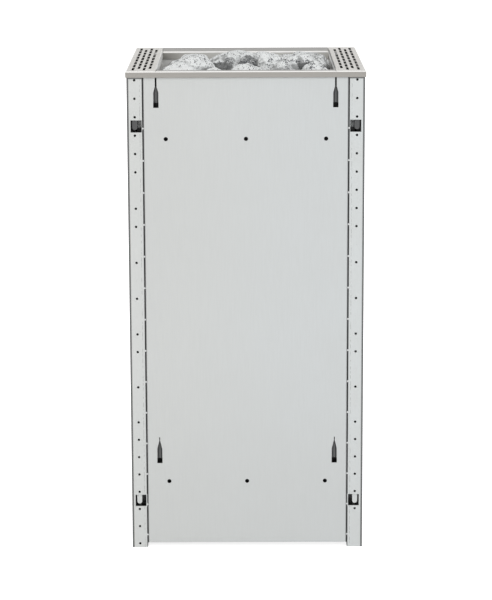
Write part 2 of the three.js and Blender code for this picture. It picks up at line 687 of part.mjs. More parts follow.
const elementShape = element();
elementColumns.forEach((x, i) => {
  elementRows.forEach((y, j) => {
    const mesh = piece(`heating_element_${i * elementRows.length + j + 1}`, elementShape, sheath);
    mesh.position.set(x, y, ELEMENT_DECK_HEIGHT);
  });
});

// Element deck with its bushing holes and airways
let elementDeck = deck(ELEMENT_DECK_HEIGHT, -DECK_FLANGE, DECK_SHEET);
for (const x of elementColumns.flatMap((middle) => [middle - legX, middle + legX])) {
  for (const y of elementRows) {
    const low = ELEMENT_DECK_HEIGHT - DECK_SHEET - 1;
    const hole = BUSHING_DIAMETER + 2 * PIN_CLEARANCE;
    elementDeck = cut(elementDeck, round("z", hole, low, ELEMENT_DECK_HEIGHT + 1, 6, [x, y]));
  }
}
for (const middle of [1 - elementY, elementY - 1]) {
  const inner = Math.sign(middle) * (GRATE_STRAP_WIDTH + 4);
  const outer = middle - Math.sign(middle) * (BUSHING_HEX / 2 + 4);
  const end = AIRWAY_LENGTH / 2;
  const low = ELEMENT_DECK_HEIGHT - DECK_SHEET - 1;
  elementDeck = cut(elementDeck, box(-end, end, inner, outer, low, ELEMENT_DECK_HEIGHT + 1));
}
piece("element_deck", elementDeck, zinc);

// Connecting bars on the element pins
function pinHoles(shape, xs, drop) {
  const top = ELEMENT_DECK_HEIGHT - drop;
  const hole = PIN_DIAMETER + 2 * PIN_CLEARANCE;
  const tools = xs.flatMap((x) => elementRows.map((y) => round("z", hole, top - BAR_SHEET - 1, top + 1, 6, [x, y])));
  return cut(shape, ...tools);
}

const barEnd = elementY + BAR_END;
const barLeg = (x, top) => box(x - BAR_WIDTH / 2, x + BAR_WIDTH / 2, -barEnd, barEnd, top - BAR_SHEET, top);
const neutralTop = ELEMENT_DECK_HEIGHT - NEUTRAL_DROP;
const neutralXs = elementColumns.map((x) => x - legX);
const neutralSpan = box(
  Math.min(...neutralXs), Math.max(...neutralXs), -BAR_WIDTH / 2, BAR_WIDTH / 2, neutralTop - BAR_SHEET, neutralTop);
piece("neutral_bar", pinHoles(join(neutralSpan, ...neutralXs.map((x) => barLeg(x, neutralTop))), neutralXs, NEUTRAL_DROP), brass);
elementColumns.forEach((x, i) => {
  const bar = barLeg(x + legX, ELEMENT_DECK_HEIGHT - PHASE_DROP);
  piece(`phase_bar_${i + 1}`, pinHoles(bar, [x + legX], PHASE_DROP), brass);
});

// Heat shield deck with its loom hole and airways
const loomHole = LOOM_DIAMETER + 2 * LOOM_CLEARANCE;
const heatLow = HEAT_SHIELD_HEIGHT - DECK_SHEET - 1;
const airways = [-1, 1].map((sign) => {
  const outer = sign * (deckX - INLET_EDGE);
  return box(outer, outer - sign * AIRWAY_WIDTH, -AIRWAY_LENGTH / 2, AIRWAY_LENGTH / 2, heatLow, HEAT_SHIELD_HEIGHT + 1);
});
const heatShield = cut(
  deck(HEAT_SHIELD_HEIGHT, -DECK_FLANGE, DECK_SHEET),
  round("z", loomHole, heatLow, HEAT_SHIELD_HEIGHT + 1, 10, [0, loomY]),
  ...airways);
piece("heat_shield_deck", heatShield, zinc);

// Base deck with air inlets along the left and right
const inlets = [-1, 1].flatMap((sign) => [-1, 0, 1].map((step) => {
  const outer = sign * (deckX - INLET_EDGE);
  const middle = step * INLET_PITCH;
  const ends = [middle - INLET_LENGTH / 2, middle + INLET_LENGTH / 2];
  return box(outer, outer - sign * INLET_WIDTH, ...ends, BASE_DECK_HEIGHT - 1, baseTop + 1);
}));
piece("base_deck", cut(deck(BASE_DECK_HEIGHT, DECK_FLANGE, DECK_SHEET), ...inlets), zinc);

// Terminal box, cover, block, gland and loom
const boxX = BOX_WIDTH / 2;
const glandZ = boxBottom + GLAND_RISE;
const glandHole = GLAND_THREAD + 2 * LOOM_CLEARANCE;
const boxInside = box(
  BOX_SHEET - boxX, boxX - BOX_SHEET, BOX_SETBACK + BOX_SHEET, boxFar - BOX_SHEET, boxBottom + BOX_SHEET, boxTop + 1);
const boxHole = round("y", glandHole, boxFar - BOX_SHEET - 1, boxFar + 1, 12, [0, glandZ]);
piece("terminal_box", cut(box(-boxX, boxX, BOX_SETBACK, boxFar, boxBottom, boxTop), boxInside, boxHole), zinc);

const lipX = boxX + SEAT_GAP;
const lipNear = BOX_SETBACK - SEAT_GAP;
const lipFar = boxFar + SEAT_GAP;
const coverBottom = boxTop + SEAT_GAP;
const coverTop = coverBottom + BOX_SHEET;
const coverBlank = box(
  -lipX - BOX_SHEET, lipX + BOX_SHEET, lipNear - BOX_SHEET, lipFar + BOX_SHEET, coverTop - COVER_LIP, coverTop);
const coverInside = box(-lipX, lipX, lipNear, lipFar, coverTop - COVER_LIP - 1, coverBottom);
const coverHole = round("z", loomHole, coverBottom - 1, coverTop + 1, 10, [0, loomY]);
piece("terminal_cover", cut(coverBlank, coverInside, coverHole), zinc);

const blockBottom = boxBottom + BOX_SHEET + SEAT_GAP;
const blockX = (TERMINAL_WAYS * TERMINAL_PITCH + TERMINAL_WALL) / 2;
const blockOutline = [[blockX, blockBottom], [-blockX, blockBottom]];
for (let i = 0; i <= TERMINAL_WAYS; i += 1) {
  const left = i * TERMINAL_PITCH - blockX;
  const right = left + TERMINAL_WALL;
  const high = blockBottom + TERMINAL_HEIGHT;
  const low = blockBottom + TERMINAL_BASE;
  blockOutline.push([left, i === 0 ? high : low], ...(i === 0 ? [] : [[left, high]]), [right, high]);
  if (i < TERMINAL_WAYS) {
    blockOutline.push([right, low]);
  }
}
const blockEnds = [loomY - TERMINAL_DEPTH / 2, loomY + TERMINAL_DEPTH / 2];
piece("terminal_block", prism("y", blockOutline, ...blockEnds), ceramic);

const glandSeat = boxFar + SEAT_GAP;
const glandEnd = glandSeat + GLAND_FLANGE + GLAND_DOME;
const gland = cut(
  join(
    round("y", GLAND_THREAD, glandSeat - GLAND_TAIL, glandEnd, 12, [0, glandZ]),
    round("y", GLAND_HEX, glandSeat, glandSeat + GLAND_FLANGE, 6, [0, glandZ])),
  round("y", GLAND_BORE, glandSeat - GLAND_TAIL - 1, glandEnd + 1, 12, [0, glandZ]));
piece("cable_gland", gland, brass);
const nutEnd = boxFar - BOX_SHEET - SEAT_GAP;
const nut = cut(
  round("y", GLAND_HEX, nutEnd - GLAND_NUT, nutEnd, 6, [0, glandZ]),
  round("y", glandHole, nutEnd - GLAND_NUT - 1, nutEnd + 1, 12, [0, glandZ]));
piece("gland_nut", nut, brass);

const loomTop = ELEMENT_DECK_HEIGHT - PHASE_DROP - BAR_SHEET - LOOM_END_GAP;
const loomFoot = blockBottom + TERMINAL_HEIGHT + LOOM_END_GAP;
const loomPoints = [loomFoot, coverTop, HEAT_SHIELD_HEIGHT, loomTop].map((z) => new THREE.Vector3(0, loomY, z));
piece("wiring_loom", tube(loomPoints, LOOM_DIAMETER, 10), sleeve);

const studX = boxX + STUD_GAP;
const stud = join(
  round("z", STUD_HEX, boxBottom, boxBottom + STUD_HEX_HEIGHT, 6, [studX, loomY]),
  round("z", STUD_DIAMETER, boxBottom, boxBottom + STUD_LENGTH, 8, [studX, loomY]));
piece("earth_stud", stud, brass);

// Lower stones, packed in rows between the element planes and joined where they touch
const bedX = trayX - STONE_GAP;
const bedY = trayY - STONE_GAP;
const bedBottom = grateTop + SEAT_GAP;
const bedSpace = box(-bedX, bedX, -bedY, bedY, bedBottom, frameTop);
const elementGap = ELEMENT_TUBE / 2 + ELEMENT_CLEARANCE;
const bedRows = [
  ["near", -bedY, -elementY - elementGap],
  ["middle", elementGap - elementY, elementY - elementGap],
  ["far", elementY + elementGap, bedY],
];

function lowerStones([, near, far], growth, firstSeed) {
  const columns = Math.ceil((2 * bedX) / BED_STONE);
  const layers = Math.ceil((bedTop - bedBottom) / BED_STONE);
  const width = (2 * bedX) / columns;
  const height = (bedTop - bedBottom) / layers;
  const half = [width * BED_PRESS, (far - near) / 2, height * BED_PRESS].map((size) => size + growth);
  const lumps = [];
  for (let i = 0; i < columns; i += 1) {
    for (let k = 0; k < layers; k += 1) {
      const lump = stone(half, firstSeed + i * layers + k, 0);
      lumps.push(lump.translate((i + 0.5) * width - bedX, (near + far) / 2, bedBottom + (k + 0.5) * height));
    }
  }
  return join(...lumps);
}

bedRows.forEach((row, i) => {
  piece(`stone_bed_${row[0]}`, common(lowerStones(row, 0, 101 + 50 * i), bedSpace), rock);
});

// Top stones, each settled on the lower ones and against the stones laid before it
const bedSkin = bedRows.map((row, i) => lowerStones(row, STONE_GAP, 101 + 50 * i));
const heapSpace = box(1 - openX, openX - 1, 1 - openY, openY - 1, 0, frameTop + POST_HEIGHT);
const laid = [];
STONES.forEach(([across, along, rise, width, depth, turn, seed], i) => {
  const top = frameTop + rise;
  const height = top - bedTop + STONE_BURY;
  const form = (growth) => stone([width / 2 + growth, depth / 2 + growth, height / 2 + growth], seed, 1)
    .rotateZ(THREE.MathUtils.degToRad(turn))
    .translate(across * openX, along * openY, top - height / 2);
  const solid = cut(common(form(0), heapSpace), ...bedSkin, ...laid);
  laid.push(asSolid(form(STONE_GAP)));
  piece(`stone_${String(i + 1).padStart(2, "0")}`, solid, rock);
});

export default heater;
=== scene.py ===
"""Looks of an electric sauna heater body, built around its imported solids."""

import json
import math

import bpy
from bpy.props import FloatProperty, FloatVectorProperty, IntProperty, PointerProperty
from mathutils import Matrix, Vector


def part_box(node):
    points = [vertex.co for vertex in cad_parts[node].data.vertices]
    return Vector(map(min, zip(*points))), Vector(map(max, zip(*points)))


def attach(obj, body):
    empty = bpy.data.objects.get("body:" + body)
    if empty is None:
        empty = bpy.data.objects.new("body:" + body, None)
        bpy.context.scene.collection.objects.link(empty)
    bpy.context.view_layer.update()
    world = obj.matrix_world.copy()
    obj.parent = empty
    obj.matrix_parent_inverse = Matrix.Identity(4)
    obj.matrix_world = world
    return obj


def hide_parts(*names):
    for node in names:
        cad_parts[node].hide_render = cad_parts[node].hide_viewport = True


bl_info = {
    "name": "Sauna heater body",
    "version": (1, 0, 0),
    "blender": (4, 5, 0),
    "location": "View3D > Sidebar > Heater",
    "description": "Dresses the solids of a sauna heater body with sheet, stone and studio light",
    "category": "Object",
}

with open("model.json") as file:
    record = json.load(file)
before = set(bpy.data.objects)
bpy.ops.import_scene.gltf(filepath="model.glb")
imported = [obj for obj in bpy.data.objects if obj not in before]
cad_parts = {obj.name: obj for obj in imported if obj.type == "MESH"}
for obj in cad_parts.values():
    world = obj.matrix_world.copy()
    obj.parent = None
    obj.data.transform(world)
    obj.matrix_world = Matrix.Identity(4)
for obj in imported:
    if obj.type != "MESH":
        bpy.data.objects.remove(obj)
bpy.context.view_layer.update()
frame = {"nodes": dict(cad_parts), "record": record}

MM = 0.001

# Places on the body, in mm
HALF = 225.0  # posts' outer faces from the middle
PANEL_FACE = 223.5  # panels' outer faces from the middle
SEAM = 194.85  # joint between post and panel from the middle
HOLE_START = 8.0
HOLE_PITCH = 35.0
HOLE_INSET = 15.0  # hole row from the post's outer edge
TACK_START = 25.5
TACK_PITCH = 61.6
TACK_COUNT = 14

# Holes of a row counted from the floor: the blank ones, and the topmost
BLANKS_LEFT = (8, 10, 13, 15, 17, 20)
BLANKS_RIGHT = (0, 1, 8, 10, 13, 15, 17)
TOP_HOLE = 26

# Soft borders of painted shade and painted light bands, in metres: where a band rises, and where it falls
SEAM_SHADE_BAND = ((0.1916, 0.1936), (0.1956, 0.1964))
LOWER_TONGUE_LIT = ((0.0820, 0.0835), (0.1072, 0.1080))
UPPER_LIP_LIT = ((0.8245, 0.8255), (0.8420, 0.8440))
SKIRT_SHADOW_BAND = ((0.9190, 0.9212), (0.9232, 0.9240))

# Fixed tones
# Colour of the painted shade on the sheets' corner bends, joints, inner faces and post backs
PAINTED_SHADE_DARK = (0.03, 0.03, 0.032)
BRUSH_DARK = (0.30, 0.29, 0.275)
# Painted highlight on the frame's bends and the well's lip
BEND_PAINTED_HIGHLIGHT = (0.95, 0.94, 0.92)
# Painted light on the strips' collars, and painted shade lines on the right-hand collar
COLLAR_PAINTED_LIGHT = (0.97, 0.965, 0.95)
COLLAR_PAINTED_SHADE = (0.10, 0.097, 0.094)
# Painted shade and painted light on the rails' faces in the well
WELL_PAINTED_SHADE = (0.33, 0.32, 0.30)
WELL_PAINTED_LIGHT = (0.66, 0.65, 0.62)
# Painted shade in the strips' slots
SLOT_PAINTED_SHADE = (0.012, 0.012, 0.012)
# Painted light: the tray's inside is lightened towards white, with clouds and grain
TRAY_PAINTED_LIGHT = (0.96, 0.955, 0.94)
TRAY_CLOUD = (0.84, 0.83, 0.81)
TRAY_GRAIN = (0.6, 0.59, 0.57)
# Painted shade on the tray's outside, seen through the vents
TRAY_OUTSIDE_SHADE = (0.048, 0.046, 0.044)
FLOOR_PALE = (0.92, 0.92, 0.92)
# Painted shadow on the floor below the body
FLOOR_PAINTED_SHADOW = (0.02, 0.02, 0.02)
# Painted shade: the rails are the strips' sheet, darkened to this share
RAIL_SHADE_SHARE = 0.42  # tone of the rails as a share of the strips'
# Painted shade: the inner sheets are darkened to this share, so that holes, windows and vents look dark
INNER_SHADE_SHARE = 0.09  # tone of the inner sheets as a share of the posts'

POSTS = ("post_wall_left", "post_wall_right", "post_room_left", "post_room_right")
PANELS = ("panel_wall", "panel_room", "panel_left", "panel_right")
STRIPS = ("vent_strip_left", "vent_strip_right")
RAILS = ("frame_rail_wall", "frame_rail_room")
STONES = tuple("stone_%02d" % number for number in range(1, 18))
BEDS = ("stone_bed_near", "stone_bed_middle", "stone_bed_far")
# Darkness of each stone finish: partly the rock's own variation, partly painted shade for stones and beds
# that lie in shadow
STONE_SHADES = {"pale_stone": 0.0, "grey_stone": 0.3, "dark_stone": 0.8}
STONE_SHADE_OF = {
    "stone_01": "pale_stone",
    "stone_02": "pale_stone",
    "stone_03": "pale_stone",
    "stone_04": "pale_stone",
    "stone_09": "dark_stone",
    "stone_11": "pale_stone",
    "stone_14": "dark_stone",
    "stone_16": "pale_stone",
}


# Settings that a user would change

class HeaterFinish(bpy.types.PropertyGroup):
    """Colours of the heater's finishes"""

    panel: FloatVectorProperty(
        name="Panel sheet", description="Colour of the flat panels",
        subtype="COLOR", size=3, min=0, max=1, default=(0.655, 0.669, 0.660))
    zinc: FloatVectorProperty(
        name="Galvanised sheet", description="Colour of the corner posts and inner sheets",
        subtype="COLOR", size=3, min=0, max=1, default=(0.685, 0.699, 0.687))
    frame_top: FloatVectorProperty(
        name="Top frame", description="Colour of the brushed frame's upper side",
        subtype="COLOR", size=3, min=0, max=1, default=(0.66, 0.64, 0.605))
    # Painted shade: the skirt is the top's sheet, darker on its upright edge
    frame_skirt_shade: FloatVectorProperty(
        name="Frame skirt", description="Colour of the brushed frame's upright edge",
        subtype="COLOR", size=3, min=0, max=1, default=(0.334, 0.320, 0.298))
    stone_pale: FloatVectorProperty(
        name="Pale stone", description="Main colour of the stones",
        subtype="COLOR", size=3, min=0, max=1, default=(0.955, 0.975, 0.975))
    stone_dark: FloatVectorProperty(
        name="Dark speckle", description="Colour of the stones' dark grains",
        subtype="COLOR", size=3, min=0, max=1, default=(0.055, 0.06, 0.068))


class HeaterShape(bpy.types.PropertyGroup):
    """Sizes of the finishing details"""

    edge_ease: FloatProperty(
        name="Eased edge", description="Rounding on cut sheet edges",
        unit="LENGTH", default=0.25 * MM, min=0.05 * MM, max=0.6 * MM)
    stone_voxel: FloatProperty(
        name="Stone detail", description="Grid size of a stone's surface",
        unit="LENGTH", default=2.2 * MM, min=1.0 * MM, max=6.0 * MM)
    stone_relief: FloatProperty(
        name="Stone relief", description="Depth of the hollows in a stone's surface",
        unit="LENGTH", default=5.0 * MM, min=0.0, max=10.0 * MM)
    stone_shrink: FloatProperty(
        name="Stone gap", description="How far a stone draws back from its neighbours",
        unit="LENGTH", default=1.6 * MM, min=0.0, max=5.0 * MM)
    weld_diameter: FloatProperty(
        name="Spot weld", description="Diameter of a spot weld's mark",
        unit="LENGTH", default=4.6 * MM, min=2.0 * MM, max=8.0 * MM)
    tack_length: FloatProperty(
        name="Tack", description="Length of a weld tack between post and panel",
        unit="LENGTH", default=4.0 * MM, min=1.0 * MM, max=8.0 * MM)
    tack_count: IntProperty(
        name="Tacks", description="Number of tacks along one joint", default=TACK_COUNT, min=2, max=20)


class HeaterStage(bpy.types.PropertyGroup):
    """Camera and light"""

    camera_place: FloatVectorProperty(
        name="Camera", description="Where the camera stands", subtype="XYZ", unit="LENGTH",
        size=3, default=(-0.001, -4.572, 1.407))
    camera_pitch: FloatProperty(
        name="Pitch", description="How far the camera looks down", subtype="ANGLE",
        default=math.radians(11.85))
    camera_roll: FloatProperty(
        name="Roll", description="Turn of the camera about its own axis", subtype="ANGLE",
        default=math.radians(-0.2))
    lens: FloatProperty(
        name="Lens", description="Focal length on a sensor 36 mm high", default=138.9, min=20, max=300)
    key_power: FloatProperty(
        name="Key light", description="Power of the large light in front", default=58.0, min=0, max=1000)
    sky_level: FloatProperty(
        name="Sky", description="Level of the even light from all round", default=0.57, min=0, max=2)


# Working on one object at a time

def deselect():
    """Leaves nothing selected."""
    for other in bpy.context.selected_objects:
        other.select_set(False)


def only(piece):
    """Makes a piece the only selected one, and the active one."""
    deselect()
    piece.select_set(True)
    bpy.context.view_layer.objects.active = piece


def start_piece(name, mesh):
    """A new object at the origin with that mesh."""
    piece = bpy.data.objects.new(name, mesh)
    mesh.name = name
    bpy.context.scene.collection.objects.link(piece)
    only(piece)
    return piece


def copy_node(node, name):
    """A new piece with a node's shape, its loose triangles merged into flat faces."""
    piece = start_piece(name, frame["nodes"][node].data.copy())
    piece.data.materials.clear()
    bpy.ops.object.mode_set(mode="EDIT")
    bpy.ops.mesh.select_all(action="SELECT")
    bpy.ops.mesh.remove_doubles(threshold=0.005 * MM)
    bpy.ops.mesh.dissolve_limited(angle_limit=math.radians(0.4))
    bpy.ops.object.mode_set(mode="OBJECT")
    return piece


def modify(piece, kind, **settings):
    """Adds a modifier and applies it."""
    only(piece)
    modifier = piece.modifiers.new(kind.lower(), kind)
    for key, value in settings.items():
        setattr(modifier, key, value)
    bpy.ops.object.modifier_apply(modifier=modifier.name)


def settle(piece, material, slot, body, *nodes):
    """Gives a finished piece its material, its body and the nodes that it stands for."""
    piece.data.materials.clear()
    piece.data.materials.append(material)
    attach(piece, body)
    if nodes:
        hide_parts(*nodes)


def join_copies(name, pattern, places):
    """One mesh with a copy of the pattern piece at each place, and the pattern removed."""
    copies = []
    for place in places:
        copy = start_piece(name, pattern.data.copy())
        copy.data.transform(place)
        copies.append(copy)
    bpy.data.objects.remove(pattern)
    for copy in copies:
        copy.select_set(True)
    bpy.context.view_layer.objects.active = copies[0]
    bpy.ops.object.join()
    copies[0].name = name
    return copies[0]


# Shader groups that several finishes share

def darker(colour, share):
    """A colour at a share of its strength."""
    return tuple(channel * share for channel in colour)


class Nodes:
    """Adds and links nodes in one tree."""

    def __init__(self, tree):
        self.tree = tree

    def add(self, kind, inputs=None, **settings):
        """A new node with its settings and inputs."""
        node = self.tree.nodes.new(kind)
        for key, value in settings.items():
            setattr(node, key, value)
        for key, value in (inputs or {}).items():
            self.feed(node.inputs[key], value)
        return node

    def feed(self, socket, value):
        """Links an output to a socket, or sets the socket's value."""
        if isinstance(value, bpy.types.NodeSocket):
            self.tree.links.new(value, socket)
        else:
            socket.default_value = value

    def math(self, operation, a, b=0.0, c=0.0):
        node = self.add("ShaderNodeMath", operation=operation)
        for socket, value in zip(node.inputs, (a, b, c)):
            self.feed(socket, value)
        return node.outputs[0]

    def both(self, a, b):
        """Product of two masks."""
        return self.math("MULTIPLY", a, b)

    def either(self, a, b):
        """Larger of two masks."""
        return self.math("MAXIMUM", a, b)

    def ramp(self, value, low, high, out_low=0.0, out_high=1.0):
        """A soft step from one level to another."""
        node = self.add("ShaderNodeMapRange", interpolation_type="SMOOTHSTEP")
        for key, entry in zip(("Value", "From Min", "From Max", "To Min", "To Max"),
                              (value, low, high, out_low, out_high)):
            self.feed(node.inputs[key], entry)
        return node.outputs[0]

    def fall(self, value, low, high):
        """A soft step from one down to nought."""
        return self.ramp(value, low, high, 1.0, 0.0)

    def band(self, value, rise, fall):
        """One between two soft borders, and nought outside."""
        return self.both(self.ramp(value, *rise), self.fall(value, *fall))

    def mix(self, factor, a, b):
        """A mix of two colours."""
        node = self.add("ShaderNodeMix", data_type="RGBA")
        self.feed(node.inputs["Factor"], factor)
        for socket, value in ((node.inputs[6], a), (node.inputs[7], b)):
            if isinstance(value, bpy.types.NodeSocket):
                self.tree.links.new(value, socket)
            else:
                socket.default_value = tuple(value)[:3] + (1.0,)
        return node.outputs[2]

    def noise(self, place, scale, detail, roughness=0.5):
        inputs = {"Vector": place, "Scale": scale, "Detail": detail, "Roughness": roughness}
        return self.add("ShaderNodeTexNoise", inputs).outputs["Fac"]

    def place(self):
        return self.add("ShaderNodeTexCoord").outputs["Object"]

    def axes(self):
        """The place across the body, its distances from the middle across and along, and the height."""
        apart = self.add("ShaderNodeSeparateXYZ", {"Vector": self.place()}).outputs
        across = self.math("ABSOLUTE", apart["X"])
        along = self.math("ABSOLUTE", apart["Y"])
        return apart["X"], across, along, apart["Z"]

    def backdrop_rays(self):
        """Rays that see the background: from the camera, a gloss or a clear piece."""
        path = self.add("ShaderNodeLightPath").outputs
        seen = self.either(path["Is Camera Ray"], path["Is Glossy Ray"])
        return self.either(seen, path["Is Transmission Ray"])


def new_group(name, inputs, outputs):
    """An empty shader group with named sockets."""
    tree = bpy.data.node_groups.new(name, "ShaderNodeTree")
    for label, kind in inputs:
        tree.interface.new_socket(name=label, in_out="INPUT", socket_type=kind)
    for label, kind in outputs:
        tree.interface.new_socket(name=label, in_out="OUTPUT", socket_type=kind)
    make = Nodes(tree)
    source = make.add("NodeGroupInput").outputs
    target = make.add("NodeGroupOutput").inputs
    return make, source, target


def rolled_grain():
    """Fine grain stretched along one direction, with soft clouds behind it."""
    name = "rolled_grain"
    if name in bpy.data.node_groups:
        return bpy.data.node_groups[name]
    make, source, target = new_group(
        name, [("Stretch", "NodeSocketVector"), ("Cloud Scale", "NodeSocketFloat")],
        [("Grain", "NodeSocketFloat"), ("Cloud", "NodeSocketFloat")])
    place = make.place()
    stretched = make.add("ShaderNodeVectorMath", operation="MULTIPLY")
    make.feed(stretched.inputs[0], place)
    make.feed(stretched.inputs[1], source["Stretch"])
    grain = make.noise(stretched.outputs[0], 1.0, 3.0, 0.6)
    cloud = make.noise(place, source["Cloud Scale"], 4.0, 0.55)
    make.feed(target["Grain"], make.ramp(grain, 0.25, 0.75))
    make.feed(target["Cloud"], make.ramp(cloud, 0.3, 0.7))
    return make.tree


def fold_shade():
    """Masks of painted shade on corners, joints, inner faces, post backs and under the skirt, a dotted bend
    line, and ramps.
    """
    name = "fold_shade"
    if name in bpy.data.node_groups:
        return bpy.data.node_groups[name]
    labels = ("Corner", "Seam", "Inside", "Back", "Line", "Skirt Shadow", "Across", "Height")
    make, _, target = new_group(name, [], [(label, "NodeSocketFloat") for label in labels])
    side, across, along, height = make.axes()
    outermost = make.either(across, along)
    innermost = make.math("MINIMUM", across, along)
    # Painted shade along the outer corner bends
    make.feed(target["Corner"], make.ramp(make.math("ADD", across, along), 0.4456, 0.4468))
    # Painted shade in the joints between posts and panels
    make.feed(target["Seam"], make.either(make.band(across, *SEAM_SHADE_BAND), make.band(along, *SEAM_SHADE_BAND)))
    # Painted shade on faces set back inside the body, darker deeper in
    deep = make.ramp(outermost, 0.2155, 0.2200, 0.55, 1.0)
    make.feed(target["Inside"], make.both(make.fall(outermost, 0.2208, 0.2221), deep))
    # Painted shade: the posts' backs are dark, apart from the tongues in the lower windows and a lip in the
    # upper ones, which are left lit as painted light
    back = make.fall(outermost, 0.2238, 0.2242)
    tongue = make.both(make.ramp(outermost, 0.2219, 0.2223), make.band(height, *LOWER_TONGUE_LIT))
    corner_side = make.both(make.fall(along, 0.1968, 0.1972), make.fall(across, 0.2052, 0.2056))
    lit = make.either(tongue, make.both(make.band(height, *UPPER_LIP_LIT), corner_side))
    make.feed(target["Back"], make.math("SUBTRACT", back, make.both(lit, back)))
    bend = make.math("COMPARE", innermost, 0.2003, 0.0004)
    dots = make.noise(make.place(), 130.0, 2.0)
    make.feed(target["Line"], make.both(bend, make.ramp(dots, 0.42, 0.62)))
    # Painted shadow on the posts' tops, under the frame's skirt
    make.feed(target["Skirt Shadow"], make.band(height, *SKIRT_SHADOW_BAND))
    # Ramps for a painted tint of light across the body and painted shade towards the bottom
    make.feed(target["Across"], make.ramp(side, -0.19, 0.19))
    make.feed(target["Height"], make.ramp(height, 0.0, 0.5))
    return make.tree


def new_material(name):
    """An empty material with a Principled shader."""
    material = bpy.data.materials.new(name)
    material.use_nodes = True
    make = Nodes(material.node_tree)
    return material, make, material.node_tree.nodes["Principled BSDF"]


def use_group(make, tree, **inputs):
    """Places a shader group and sets its inputs."""
    node = make.add("ShaderNodeGroup", node_tree=tree)
    for key, value in inputs.items():
        make.feed(node.inputs[key.replace("_", " ")], value)
    return node.outputs


def bump(make, shader, height, strength, distance):
    """Fine relief on a finish."""
    node = make.add("ShaderNodeBump", {"Height": height, "Strength": strength, "Distance": distance})
    make.feed(shader.inputs["Normal"], node.outputs["Normal"])


# Finishes

def sheet_finish(name, colour, stretch, cloud_scale, metallic, roughness, shades, tint=(1.0, 1.0, 1.0)):
    """Rolled sheet with fine grain and faint clouds, with painted shade on its folds and towards the bottom,
    and a painted tint of light that changes slowly along its width.
    """
    if name in bpy.data.materials:
        return bpy.data.materials[name]
    material, make, shader = new_material(name)
    grain = use_group(make, rolled_grain(), Stretch=stretch, Cloud_Scale=cloud_scale)
    folds = use_group(make, fold_shade())
    # Painted light: the tint turns cooler from left to right across the body
    tone = make.mix(folds["Across"], colour, tuple(c * t for c, t in zip(colour, tint)))
    tone = make.mix(make.both(grain["Cloud"], 0.4), tone, darker(colour, 0.95))
    tone = make.mix(make.both(grain["Grain"], 0.2), tone, darker(colour, 0.9))
    # Painted shade: darker towards the bottom
    tone = make.mix(make.ramp(folds["Height"], 0.0, 1.0, 0.3, 0.0), tone, darker(colour, 0.88))
    # Painted shade from the fold_shade masks, at the strengths given
    shade = 0.0
    for label, strength in shades.items():
        shade = make.either(shade, make.both(folds[label], strength))
    tone = make.mix(shade, tone, PAINTED_SHADE_DARK)
    make.feed(shader.inputs["Base Color"], tone)
    rough = make.ramp(grain["Grain"], 0.0, 1.0, roughness - 0.05, roughness + 0.07)
    make.feed(shader.inputs["Roughness"], rough)
    shader.inputs["Metallic"].default_value = metallic
    bump(make, shader, grain["Grain"], 0.08, 0.1 * MM)
    return material


def frame_finish(name, stretch, finish, upper_tone, slotted):
    """Brushed stainless sheet with painted highlights on its bends, painted light and shade in the well, and
    painted shade on skirt and slots; slotted is 1 for a strip and 0 for a rail.
    """
    if name in bpy.data.materials:
        return bpy.data.materials[name]
    material, make, shader = new_material(name)
    grain = use_group(make, rolled_grain(), Stretch=stretch, Cloud_Scale=9.0)
    side, across, along, height = make.axes()
    outermost = make.either(across, along)
    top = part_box("vent_strip_left")[1].z
    # The brushed sheet, darker on the skirt as painted shade
    skirt = make.ramp(outermost, 0.2254, 0.2262)
    tone = make.mix(skirt, upper_tone, tuple(finish.frame_skirt_shade))
    brushed = make.mix(make.both(grain["Grain"], 0.35), tone, BRUSH_DARK)
    tone = make.mix(make.both(grain["Cloud"], 0.25), brushed, tone)
    # Painted highlights on the bends over the skirt and at the well's lip
    lip_foot = (top - 7.0 * MM, top - 6.0 * MM)
    bend = make.both(make.ramp(outermost, 0.2238, 0.2252), make.ramp(height, top - 2.6 * MM, top - 1.4 * MM))
    well = make.both(make.fall(along, 0.1775, 0.1795), make.fall(across, 0.1695, 0.1700))
    bright = make.either(bend, make.both(well, make.ramp(height, *lip_foot)))
    tone = make.mix(bright, tone, BEND_PAINTED_HIGHLIGHT)
    # The rails' faces in the well, painted light, with painted shade towards the left end
    well_face = make.both(make.both(well, make.fall(height, *lip_foot)), 1.0 - slotted)
    tone = make.mix(well_face, tone, make.mix(make.ramp(side, -0.168, -0.10), WELL_PAINTED_SHADE, WELL_PAINTED_LIGHT))
    # The strips' collars in the well, lightened as painted light, with painted shade lines on the right
    collar = make.both(make.fall(across, 0.1712, 0.1716), make.fall(along, 0.1755, 0.1765))
    collar = make.both(collar, slotted)
    upper_line = make.ramp(height, top - 4.5 * MM, top - 3.5 * MM)
    lower_line = make.fall(height, top - 13.5 * MM, top - 12.5 * MM)
    lines = make.both(make.either(upper_line, lower_line), make.ramp(side, -0.01, 0.01))
    tone = make.mix(collar, tone, make.mix(lines, COLLAR_PAINTED_LIGHT, COLLAR_PAINTED_SHADE))
    # Painted shade: the strips' undersides and the walls of their slots are black
    below = make.both(make.fall(height, top - 0.7 * MM, top - 0.35 * MM), make.ramp(across, 0.1735, 0.1745))
    below = make.both(below, make.fall(outermost, 0.2215, 0.2225))
    tone = make.mix(make.both(below, slotted), tone, SLOT_PAINTED_SHADE)
    make.feed(shader.inputs["Base Color"], tone)
    make.feed(shader.inputs["Roughness"], make.ramp(grain["Grain"], 0.0, 1.0, 0.30, 0.46))
    make.feed(shader.inputs["Metallic"], make.ramp(make.either(collar, well_face), 0.0, 1.0, 0.5, 0.0))
    bump(make, shader, grain["Grain"], 0.15, 0.08 * MM)
    return material


